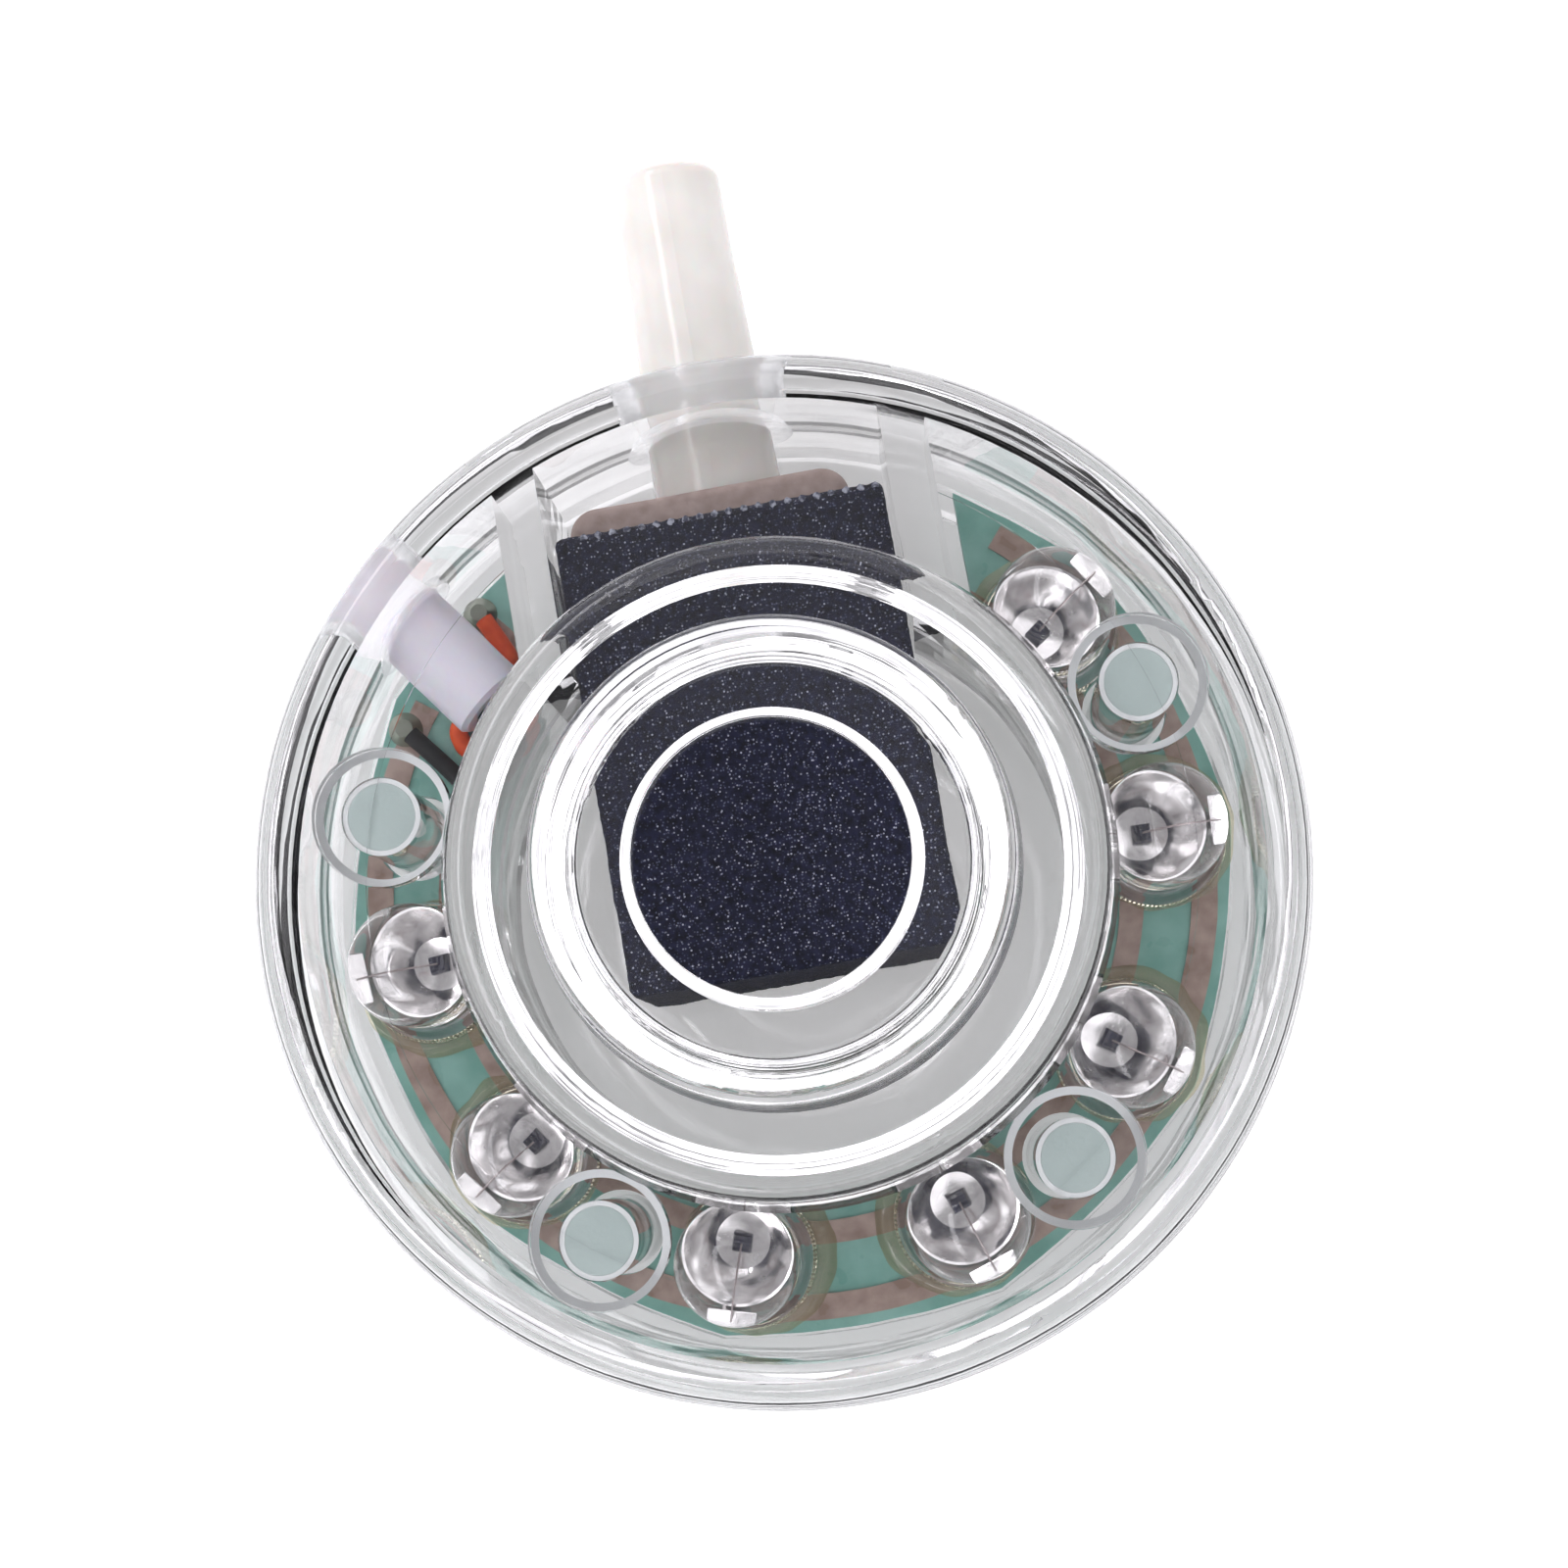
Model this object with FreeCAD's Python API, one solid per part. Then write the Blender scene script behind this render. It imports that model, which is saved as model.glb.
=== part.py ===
import FreeCAD, Part

import math
import os

from FreeCAD import Vector

# A submersible lit air-stone disc for an aquarium. Millimetres, +Z up.
# The origin is the centre of the base's underside and +Y runs out along the air nozzle.

# Housing
housing_radius = 21.0
housing_wall = 1.8
floor_thickness = 1.5
seam_height = 7.5
plate_underside = 13.5
plate_top = 15.0
base_edge_chamfer = 0.8
cover_edge_fillet = 1.2
tongue_inner_radius = 19.85
tongue_outer_radius = 20.35
tongue_height = 0.8
tongue_clearance = 0.05
shell_gap = 0.02
plate_recess_radius = 16.5
plate_recess_depth = 0.2

# Wet chamber that holds the stone: a round well with a straight channel to the rim
well_inner_radius = 11.9
well_outer_radius = 13.0
channel_inner_half_width = 7.05
channel_wall = 1.8
stone_rib_width = 1.0
stone_rib_offset = 4.5
stone_rib_height = 0.7
stone_rib_inset = 1.0

# Outlet turret on the cover: two drafted steps and a hole, with its inside corners bevelled or rounded
lower_step_radius = 13.35
lower_step_top = 18.0
upper_step_radius = 9.5
upper_step_top = 21.2
lower_step_draft = 0.6
lower_step_fillet = 0.9
upper_step_draft = 0.35
upper_step_fillet = 0.5
lower_step_inner_bevel = 0.8
upper_step_inner_fillet = 0.5
upper_step_inner_flare = 1.4
lower_step_inner_top = 16.5
upper_step_inner_radius = 7.8
upper_step_inner_top = 19.7
outlet_radius = 5.25
outlet_top_fillet = 0.12
outlet_inner_flare = 0.5

# Posts of the base and the sockets of the cover that they locate in
post_angles = (18.0, 162.0, 234.0, 306.0)
post_circle_radius = 16.1
post_radius = 1.55
post_top = 13.4
post_top_chamfer = 0.15
socket_inner_radius = 1.6
socket_outer_radius = 2.8
socket_depth = 0.9

# Circuit board: a C-shaped ring with a shallow corner at each tenth of a turn
board_bottom = 3.5
board_thickness = 1.0
board_top = board_bottom + board_thickness
board_corner_radius = 18.9
board_flat_radius = 18.5
board_inner_radius = 13.2
board_end_half_width = 9.85
board_corner_count = 10
board_clearance = 0.15
post_hole_radius = 1.8
ledge_gap = 0.05
outer_ledge_radius = 17.9
inner_ledge_radius = 13.6

# Copper tracks
track_thickness = 0.1
inner_track_radii = (14.0, 15.0)
outer_track_radii = (17.0, 18.1)
inner_track_end_angle = 129.0
outer_track_end_angle = 143.0
track_start_angle = 50.0
pad_radius = 0.8
spur_width = 1.4
spur_angle = 129.5
spur_outer_radius = 18.0

# LEDs
led_angles = (35.0, 358.0, 324.2, 288.5, 253.2, 215.8, 183.0)
led_circle_radius = 15.6
led_seat = board_top + track_thickness + 0.05
led_flange_radius = 2.9
led_flange_thickness = 1.0
led_body_radius = 2.5
led_height = 8.6
led_flat_offset = 2.5
leg_half_pitch = 1.27
leg_width = 0.5
leg_hole_radius = 0.4
leg_bottom = 2.4
anvil_bottom = 2.2
anvil_top = 4.6
anvil_thickness = 0.5
cup_radius = 1.3
cup_rim_radius = 1.24
cup_floor_radius = 0.5
cup_height = 1.0
cup_depth = 0.65
cup_offset = 0.35
post_pad_length = 0.7
post_pad_half_width = 0.55
post_pad_thickness = 0.3
solder_radius = 0.6
solder_tip_radius = 0.36
solder_height = 0.9

# Air stone and its sealed end
stone_half_width = 6.8
stone_near = 15.1
stone_far = -3.9
stone_bottom = floor_thickness + stone_rib_height
stone_top = 12.7
stone_edge = 0.3
end_cap_left = -6.2
end_cap_right = 5.4
end_cap_length = 1.2
end_cap_corner_radius = 1.15
end_cap_bottom = 3.4
end_cap_top = 11.4
end_cap_edge = 0.4
end_cap_outer = stone_near + end_cap_length

# Air nozzle, on an axis at the seam between the shells
nozzle_tip = 31.0
nozzle_tip_radius = 2.35
nozzle_land_length = 3.6
nozzle_inner_radius = 2.7
nozzle_tip_fillet = 0.6
nozzle_bore_radius = 1.25
spigot_radius = 1.9
spigot_end = 8.8
spigot_clearance = 0.05

# Soft seals that fill the passages through the rim, squeezed at every face
seal_squeeze = 0.03
nozzle_seal_radius = 3.5
sleeve_seal_radius = 2.3

# Cable sleeve and leads
sleeve_exit_angle = 134.6
sleeve_direction_angle = -53.7
sleeve_length = 6.6
sleeve_radius = 1.75
sleeve_bore_radius = 1.3
sleeve_bore_depth = 4.2
sleeve_core_radius = 1.0
sleeve_overhang = 0.2
sleeve_edge = 0.2
lead_radius = 0.4
lead_bend_radius = 0.55
lead_rest_height = board_top + track_thickness + 0.03 + lead_radius
lead_pad_radius = 0.75
lead_pad_height = 0.55

# Working values
cut_margin = 1.0
match_tolerance = 0.01

up = Vector(0, 0, 1)
along_y = Vector(0, 1, 0)
origin = Vector(0, 0, 0)


def polar(radius, angle, height=0.0):
    turn = math.radians(angle)
    return Vector(radius * math.cos(turn), radius * math.sin(turn), height)


def disc(radius, bottom, top, centre=origin):
    return Part.makeCylinder(radius, top - bottom, Vector(centre.x, centre.y, bottom), up)


def ring(inner, outer, bottom, top, centre=origin):
    return disc(outer, bottom, top, centre).cut(disc(inner, bottom, top, centre))


def block(x_range, y_range, z_range):
    low = Vector(x_range[0], y_range[0], z_range[0])
    return Part.makeBox(x_range[1] - x_range[0], y_range[1] - y_range[0], z_range[1] - z_range[0], low)


def turned(points):
    """Solid turned about Z from (radius, height) corners."""
    corners = [Vector(radius, 0, height) for radius, height in points]
    outline = Part.makePolygon(corners + corners[:1])
    return Part.Face(outline).revolve(origin, up, 360)


def fused(shapes):
    return shapes[0].fuse(shapes[1:]).removeSplitter()


def cut_all(shape, tools):
    for tool in tools:
        shape = shape.cut(tool)
    return shape.removeSplitter()


def circle_edges(shape, radius, height):
    """Edges of a circle of this radius about Z at this height."""
    found = []
    for edge in shape.Edges:
        if not isinstance(edge.Curve, Part.Circle):
            continue
        radius_error = abs(edge.Curve.Radius - radius)
        height_error = abs(edge.Curve.Center.z - height)
        if max(radius_error, height_error) < match_tolerance:
            found.append(edge)
    return found


def closed_edges(shape):
    return [edge for edge in shape.Edges if len(edge.Vertexes) == 1]


def channel_prism(half_width, bottom, top, reach):
    return block((-half_width, half_width), (0, reach), (bottom, top))


def chamber_walls(bottom, top):
    """Round well wall joined to the two straight walls that run out to the rim."""
    outer_half = channel_inner_half_width + channel_wall
    reach = housing_radius
    bulk = fused([disc(well_outer_radius, bottom, top), channel_prism(outer_half, bottom, top, reach)])
    bulk = bulk.common(disc(housing_radius - housing_wall / 2, bottom, top))
    hollow = fused([
        disc(well_inner_radius, bottom, top),
        channel_prism(channel_inner_half_width, bottom, top, reach),
    ])
    hollow = hollow.common(disc(housing_radius - housing_wall, bottom, top))
    return bulk.cut(hollow)


def board_outline(grow, bottom, top):
    """Ten-cornered disc with gently bowed sides; grow moves the outline outwards."""
    step = 360.0 / board_corner_count
    edges = []
    for index in range(board_corner_count):
        start = polar(board_corner_radius + grow, index * step, bottom)
        middle = polar(board_flat_radius + grow, (index + 0.5) * step, bottom)
        end = polar(board_corner_radius + grow, (index + 1) * step, bottom)
        edges.append(Part.Arc(start, middle, end).toShape())
    return Part.Face(Part.Wire(edges)).extrude(Vector(0, 0, top - bottom))


def nozzle_radius_at(y):
    share = (y - end_cap_outer) / (nozzle_tip - nozzle_land_length - end_cap_outer)
    return nozzle_inner_radius + share * (nozzle_tip_radius - nozzle_inner_radius)


def sleeve_frame():
    """Exit point on the rim, inward direction and sideways direction of the sleeve."""
    turn = math.radians(sleeve_direction_angle)
    inward = Vector(math.cos(turn), math.sin(turn), 0)
    sideways = Vector(-inward.y, inward.x, 0)
    return polar(housing_radius, sleeve_exit_angle, seam_height), inward, sideways


def across_rim(radius, start_point, outward):
    """Round bar along a passage, longer than the rim is thick."""
    start = start_point - outward * (2 * housing_wall)
    return Part.makeCylinder(radius, 4 * housing_wall, start, outward)


def nozzle_bar(radius):
    return across_rim(radius, Vector(0, housing_radius, seam_height), along_y)


def sleeve_bar(radius):
    exit_point, inward, _ = sleeve_frame()
    return across_rim(radius, exit_point, inward * -1)


def rim_passages():
    return [nozzle_bar(nozzle_seal_radius), sleeve_bar(sleeve_seal_radius)]


def seal(outer_bar, inner_bar):
    """Plug between two bars, as deep as the rim is thick."""
    rim = ring(housing_radius - housing_wall, housing_radius, 0, plate_top)
    return outer_bar.common(rim).cut(inner_bar).Solids[0]


def nozzle_seal():
    inner_radius = nozzle_radius_at(housing_radius - housing_wall / 2) - seal_squeeze
    return seal(nozzle_bar(nozzle_seal_radius + seal_squeeze), nozzle_bar(inner_radius))


def sleeve_seal():
    return seal(sleeve_bar(sleeve_seal_radius + seal_squeeze), sleeve_bar(sleeve_radius - seal_squeeze))


def post_discs(radius, bottom, top):
    return [disc(radius, bottom, top, polar(post_circle_radius, angle)) for angle in post_angles]


def post(angle):
    """Locating post with a small chamfer round its top."""
    pin = disc(post_radius, floor_thickness, post_top, polar(post_circle_radius, angle))
    return pin.makeChamfer(post_top_chamfer, circle_edges(pin, post_radius, post_top))


def stone_ribs():
    """Two low ribs on the floor that carry the stone."""
    y_range = (stone_far + stone_rib_inset, stone_near - stone_rib_inset)
    z_range = (floor_thickness, floor_thickness + stone_rib_height)
    half = stone_rib_width / 2
    return [block((x - half, x + half), y_range, z_range) for x in (-stone_rib_offset, stone_rib_offset)]


def base_shell():
    inner_radius = housing_radius - housing_wall
    outside = disc(housing_radius, 0, seam_height)
    outside = outside.makeChamfer(base_edge_chamfer, circle_edges(outside, housing_radius, 0))
    tray = outside.cut(disc(inner_radius, floor_thickness, seam_height))
    ledge_top = board_bottom - ledge_gap
    outer_ledge = ring(outer_ledge_radius, inner_radius + ledge_gap, floor_thickness, ledge_top)
    surround = disc(inner_radius + ledge_gap, ledge_top, board_top)
    surround = surround.cut(board_outline(board_clearance, ledge_top, board_top))
    inner_ledge = ring(well_inner_radius, inner_ledge_radius, floor_thickness, ledge_top)
    channel = channel_prism(channel_inner_half_width, floor_thickness, seam_height, inner_radius)
    tongue = ring(tongue_inner_radius, tongue_outer_radius, seam_height, seam_height + tongue_height)
    ledges = fused([outer_ledge, surround, inner_ledge]).cut(channel)
    walls = chamber_walls(floor_thickness, seam_height)
    posts = [post(angle) for angle in post_angles]
    shell = fused([tray, ledges, walls, tongue] + stone_ribs() + posts)
    return cut_all(shell, rim_passages())


def turret_step(radius, draft, fillet, bottom, top):
    """Drafted round step with a rounded top edge."""
    top_radius = radius - draft
    step = Part.makeCone(radius, top_radius, top - bottom, Vector(0, 0, bottom), up)
    return step.makeFillet(fillet, circle_edges(step, top_radius, top))


def turret_bulk():
    root = disc(lower_step_radius, plate_underside, plate_top)
    lower = turret_step(lower_step_radius, lower_step_draft, lower_step_fillet, plate_top, lower_step_top)
    upper = turret_step(upper_step_radius, upper_step_draft, upper_step_fillet,
                        lower_step_top, upper_step_top)
    return fused([root, lower, upper])


def bevelled_hollow(radius, bottom, top, bevel):
    """Round space with a bevelled upper edge."""
    return turned([(0, bottom), (radius, bottom), (radius, top - bevel), (radius - bevel, top), (0, top)])


def rounded_hollow(radius, bottom, top, fillet):
    """Round space with a rounded upper edge."""
    space = disc(radius, bottom, top)
    return space.makeFillet(fillet, circle_edges(space, radius, top))


def flared_hole(radius, bottom, top, flare):
    """Round hole that widens at its lower edge."""
    return turned([(0, bottom), (radius + flare, bottom), (radius, bottom + flare), (radius, top), (0, top)])


def outlet_hole():
    """Hole through the top of the turret with a rounded upper edge and a flared lower one."""
    fillet_bottom = upper_step_top - outlet_top_fillet
    lip_radius = outlet_radius + outlet_top_fillet
    mouth = disc(lip_radius, fillet_bottom, upper_step_top)
    lip = Part.makeTorus(lip_radius, outlet_top_fillet, Vector(0, 0, fillet_bottom), up)
    through = flared_hole(outlet_radius, upper_step_inner_top, upper_step_top, outlet_inner_flare)
    return fused([through, mouth.cut(lip)])


def turret_hollow():
    upper_bottom = lower_step_inner_top
    shoulder = upper_step_inner_top - upper_step_inner_fillet
    return [
        bevelled_hollow(well_inner_radius, plate_underside - cut_margin, lower_step_inner_top,
                        lower_step_inner_bevel),
        rounded_hollow(upper_step_inner_radius, upper_bottom, upper_step_inner_top, upper_step_inner_fillet),
        flared_hole(upper_step_inner_radius, upper_bottom, shoulder, upper_step_inner_flare),
        outlet_hole(),
    ]


def socket(angle):
    """Ring under the plate that a post enters."""
    bottom = plate_underside - socket_depth
    top = plate_underside + plate_recess_depth / 2
    return ring(socket_inner_radius, socket_outer_radius, bottom, top, polar(post_circle_radius, angle))


def top_cover():
    inner_radius = housing_radius - housing_wall
    bottom = seam_height + shell_gap
    outside = disc(housing_radius, bottom, plate_top)
    outside = outside.makeFillet(cover_edge_fillet, circle_edges(outside, housing_radius, plate_top))
    shell = outside.cut(disc(inner_radius, bottom, plate_underside))
    recess = ring(plate_recess_radius, inner_radius, plate_underside, plate_underside + plate_recess_depth)
    outer_half = channel_inner_half_width + channel_wall
    recess = recess.cut(channel_prism(outer_half, bottom, plate_top, housing_radius))
    sockets = [socket(angle) for angle in post_angles]
    walls = chamber_walls(bottom, plate_underside)
    shell = fused([shell.cut(recess), turret_bulk(), walls] + sockets)
    groove = ring(tongue_inner_radius - tongue_clearance, tongue_outer_radius + tongue_clearance,
                  bottom, seam_height + tongue_height + tongue_clearance)
    return cut_all(shell, turret_hollow() + [groove] + rim_passages())


def spigot_hole():
    """Hole through the end cap and into the stone that the nozzle's spigot is glued in."""
    bottom = spigot_end - spigot_clearance
    radius = spigot_radius + spigot_clearance
    return Part.makeCylinder(radius, end_cap_outer - bottom, Vector(0, bottom, seam_height), along_y)


def air_stone():
    stone = block((-stone_half_width, stone_half_width), (stone_far, stone_near), (stone_bottom, stone_top))
    return stone.makeChamfer(stone_edge, stone.Edges).cut(spigot_hole())


def stone_end_cap():
    """Shallow resin cap, poured a little off centre on the end of the stone that the nozzle enters."""
    y_range = (stone_near, end_cap_outer)
    cap = block((end_cap_left, end_cap_right), y_range, (end_cap_bottom, end_cap_top))
    upright = [edge for edge in cap.Edges
               if edge.BoundBox.ZLength > end_cap_edge and edge.BoundBox.YMin > stone_near]
    cap = cap.makeFillet(end_cap_corner_radius, upright)
    beyond_seat = stone_near + match_tolerance
    outline = [edge for edge in cap.Edges
               if edge.BoundBox.ZLength < match_tolerance and edge.BoundBox.YMax > beyond_seat]
    return cap.makeFillet(end_cap_edge, outline).cut(spigot_hole())


def air_nozzle():
    """Tapered nozzle with a straight land at its tip, a spigot in the stone and a bore right through."""
    land_start = nozzle_tip - nozzle_land_length
    taper = Part.makeCone(nozzle_inner_radius, nozzle_tip_radius, land_start - end_cap_outer,
                          Vector(0, end_cap_outer, seam_height), along_y)
    land_centre = Vector(0, land_start, seam_height)
    land = Part.makeCylinder(nozzle_tip_radius, nozzle_land_length, land_centre, along_y)
    tip_edge = [edge for edge in closed_edges(land) if edge.Vertexes[0].Y > nozzle_tip - match_tolerance]
    land = land.makeFillet(nozzle_tip_fillet, tip_edge)
    inner_end = Vector(0, spigot_end, seam_height)
    spigot = Part.makeCylinder(spigot_radius, end_cap_outer - spigot_end, inner_end, along_y)
    bore = Part.makeCylinder(nozzle_bore_radius, nozzle_tip - spigot_end, inner_end, along_y)
    return fused([taper, land, spigot]).cut(bore)


def keep_from_channel(shape):
    """Cut the C shape open with ends that run parallel to the channel."""
    x_range = (-board_end_half_width, board_end_half_width)
    return shape.cut(block(x_range, (0, housing_radius), (0, plate_top)))


def leg_points(angle):
    return [polar(led_circle_radius + side * leg_half_pitch, angle) for side in (-1, 1)]


def led_board():
    board = board_outline(0, board_bottom, board_top)
    board = keep_from_channel(board.cut(disc(board_inner_radius, board_bottom, board_top)))
    legs = [point for angle in led_angles for point in leg_points(angle)]
    leg_holes = [disc(leg_hole_radius, 0, plate_top, point) for point in legs]
    return cut_all(board, post_discs(post_hole_radius, 0, plate_top) + leg_holes)


def ring_segment(inner, outer, start_angle, end_angle, bottom, top):
    """Part of a ring that runs clockwise from end_angle round to start_angle."""
    sweep = 360.0 - (end_angle - start_angle)
    whole = Part.makeCylinder(outer, top - bottom, Vector(0, 0, bottom), up, sweep)
    hollow = Part.makeCylinder(inner, top - bottom, Vector(0, 0, bottom), up, 360)
    segment = whole.cut(hollow)
    segment.rotate(origin, up, end_angle)
    return segment


def track(radii, end_angle, leg_index, extra=()):
    """Copper ring segment with a pad around one leg of every LED."""
    top = board_top + track_thickness
    segment = ring_segment(radii[0], radii[1], track_start_angle, end_angle, board_top, top)
    legs = [leg_points(angle)[leg_index] for angle in led_angles]
    pads = [disc(pad_radius, board_top, top, point) for point in legs]
    holes = [disc(leg_hole_radius, board_top, top, point) for point in legs]
    copper = keep_from_channel(fused([segment] + pads + list(extra)))
    return cut_all(copper, holes + post_discs(post_hole_radius, 0, plate_top))


def inner_track():
    length = spur_outer_radius - inner_track_radii[0]
    spur = block((inner_track_radii[0], inner_track_radii[0] + length), (-spur_width / 2, spur_width / 2),
                 (board_top, board_top + track_thickness))
    spur.rotate(origin, up, spur_angle)
    return track(inner_track_radii, inner_track_end_angle, 0, [spur])


def outer_track():
    return track(outer_track_radii, outer_track_end_angle, 1)


def place_led(shape, angle):
    """Move a shape made about Z at the origin to an LED's place, with its local +X pointing outwards."""
    placed = shape.copy()
    placed.translate(Vector(led_circle_radius, 0, led_seat))
    placed.rotate(origin, up, angle)
    return placed


def led_frame_shape():
    """Reflector cup on its anvil over the inner leg, and the thin post over the outer leg."""
    half = leg_width / 2
    drop = leg_bottom - led_seat
    leg_x = leg_half_pitch
    cup_leg = block((-leg_x - half, -leg_x + half), (-half, half), (drop, anvil_bottom + half))
    anvil_back = -anvil_thickness / 2
    corners = [
        Vector(-leg_x - half, anvil_back, anvil_bottom),
        Vector(-half, anvil_back, anvil_bottom),
        Vector(cup_radius - half, anvil_back, anvil_top),
        Vector(-leg_x - half, anvil_back, anvil_top),
    ]
    anvil = Part.Face(Part.makePolygon(corners + corners[:1])).extrude(Vector(0, anvil_thickness, 0))
    cup_bottom = anvil_top - half
    rim_height = cup_bottom + cup_height
    cup = turned([
        (0, cup_bottom), (cup_radius, cup_bottom), (cup_radius, rim_height), (cup_rim_radius, rim_height),
        (cup_floor_radius, rim_height - cup_depth), (0, rim_height - cup_depth),
    ])
    cup.translate(Vector(-cup_offset, 0, 0))
    post_inner = leg_x - half
    post = block((post_inner, leg_x + half), (-half, half), (drop, rim_height))
    pad = block((post_inner, post_inner + post_pad_length), (-post_pad_half_width, post_pad_half_width),
                (rim_height - post_pad_thickness, rim_height))
    return Part.makeCompound([fused([cup_leg, anvil, cup]), fused([post, pad])])


def led_lens_shape():
    """Flanged round lens with a domed top and one flat on the flange."""
    dome_height = led_height - led_body_radius
    beyond_flat = block((-2 * led_flange_radius, -led_flat_offset), (-led_flange_radius, led_flange_radius),
                        (-cut_margin, led_flange_thickness + cut_margin))
    flange = disc(led_flange_radius, 0, led_flange_thickness).cut(beyond_flat)
    body = disc(led_body_radius, 0, dome_height)
    dome = Part.makeSphere(led_body_radius, Vector(0, 0, dome_height), up, 0, 90, 360)
    return fused([flange, body, dome]).cut(led_frame_shape())


def led_solder():
    """Solder cones under the board, each around the end of one leg."""
    cone = Part.makeCone(solder_tip_radius, solder_radius, solder_height,
                         Vector(0, 0, board_bottom - solder_height), up)
    leg = block((-leg_width / 2, leg_width / 2), (-leg_width / 2, leg_width / 2), (0, board_bottom))
    joint = cone.cut(leg)
    joints = []
    for angle in led_angles:
        for side in (-1, 1):
            placed = joint.copy()
            placed.translate(Vector(led_circle_radius + side * leg_half_pitch, 0, 0))
            placed.rotate(origin, up, angle)
            joints.append(placed)
    return Part.makeCompound(joints)


def cable_sleeve():
    """White sleeve with a bore for the supply cable and a narrower one for the two leads."""
    exit_point, inward, _ = sleeve_frame()
    start = exit_point - inward * sleeve_overhang
    length = sleeve_length + sleeve_overhang
    tube = Part.makeCylinder(sleeve_radius, length, start, inward)
    tube = tube.makeChamfer(sleeve_edge, closed_edges(tube))
    cable_bore = Part.makeCylinder(sleeve_bore_radius, sleeve_bore_depth, start, inward)
    core_bore = Part.makeCylinder(sleeve_core_radius, length, start, inward)
    return cut_all(tube, [cable_bore, core_bore])


def sleeve_point(inward_distance, sideways_distance, height):
    """Point measured from the centre of the sleeve's inner end."""
    exit_point, inward, sideways = sleeve_frame()
    end = exit_point + inward * sleeve_length
    spot = end + inward * inward_distance + sideways * sideways_distance
    return Vector(spot.x, spot.y, height)


def rounded_path(points, bend_radius):
    """Straight runs joined by tangent arcs."""
    edges = []
    start = points[0]
    for before, corner, after in zip(points, points[1:], points[2:]):
        incoming = (corner - before).normalize()
        outgoing = (after - corner).normalize()
        turn = incoming.getAngle(outgoing)
        setback = bend_radius * math.tan(turn / 2)
        arc_start = corner - incoming * setback
        arc_end = corner + outgoing * setback
        bisector = (outgoing - incoming).normalize()
        centre = corner + bisector * (bend_radius / math.cos(turn / 2))
        arc_middle = centre - bisector * bend_radius
        edges.append(Part.LineSegment(start, arc_start).toShape())
        edges.append(Part.Arc(arc_start, arc_middle, arc_end).toShape())
        start = arc_end
    edges.append(Part.LineSegment(start, points[-1]).toShape())
    return Part.Wire(edges)


def lead(points):
    """Round insulated lead swept along a rounded path."""
    path = rounded_path(points, lead_bend_radius)
    start_direction = (points[1] - points[0]).normalize()
    section = Part.Wire(Part.makeCircle(lead_radius, points[0], start_direction))
    return path.makePipeShell([section], True, True)


def black_lead_route():
    return [
        sleeve_point(-2.0, -0.48, seam_height),
        sleeve_point(0.9, -0.48, seam_height),
        sleeve_point(1.3, -1.9, seam_height - 0.4),
        sleeve_point(1.2, -3.3, lead_rest_height),
        sleeve_point(-2.2, -3.4, lead_rest_height),
    ]


def red_lead_route():
    return [
        sleeve_point(-2.0, 0.48, seam_height),
        sleeve_point(0.8, 0.48, seam_height),
        sleeve_point(0.9, -0.7, lead_rest_height + 0.8),
        sleeve_point(0.2, -2.3, lead_rest_height),
        sleeve_point(-0.9, -1.9, lead_rest_height),
        sleeve_point(-1.2, 1.9, lead_rest_height),
        sleeve_point(-3.4, 2.3, lead_rest_height),
    ]


def lead_solder():
    """One solder dome on the board at the end of each lead."""
    joints = []
    for route in (red_lead_route(), black_lead_route()):
        end = route[-1]
        run = (end - route[-2]).normalize()
        spot = end + run * (lead_pad_radius / 2)
        cone = Part.makeCone(lead_pad_radius, lead_pad_radius / 2, lead_pad_height,
                             Vector(spot.x, spot.y, board_top + track_thickness), up)
        joints.append(cone.cut(lead(route)))
    return Part.makeCompound(joints)


def export(name, shape):
    if not shape.isValid():
        raise ValueError(name + " isn't a valid solid")
    shape.exportStep("parts/" + name + ".step")


def main():
    os.makedirs("parts", exist_ok=True)
    single_pieces = (
        base_shell, top_cover, air_stone, stone_end_cap, air_nozzle, led_board, inner_track, outer_track,
        led_solder, cable_sleeve, lead_solder, nozzle_seal, sleeve_seal,
    )
    for piece in single_pieces:
        export(piece.__name__, piece())
    export("black_lead", lead(black_lead_route()))
    export("red_lead", lead(red_lead_route()))
    lens = led_lens_shape()
    frame = led_frame_shape()
    for number, angle in enumerate(led_angles, start=1):
        export("led_lens_%d" % number, place_led(lens, angle))
        export("led_frame_%d" % number, place_led(frame, angle))


main()
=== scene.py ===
import math

import bmesh
import bpy
from mathutils import Matrix, Vector, noise


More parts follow.
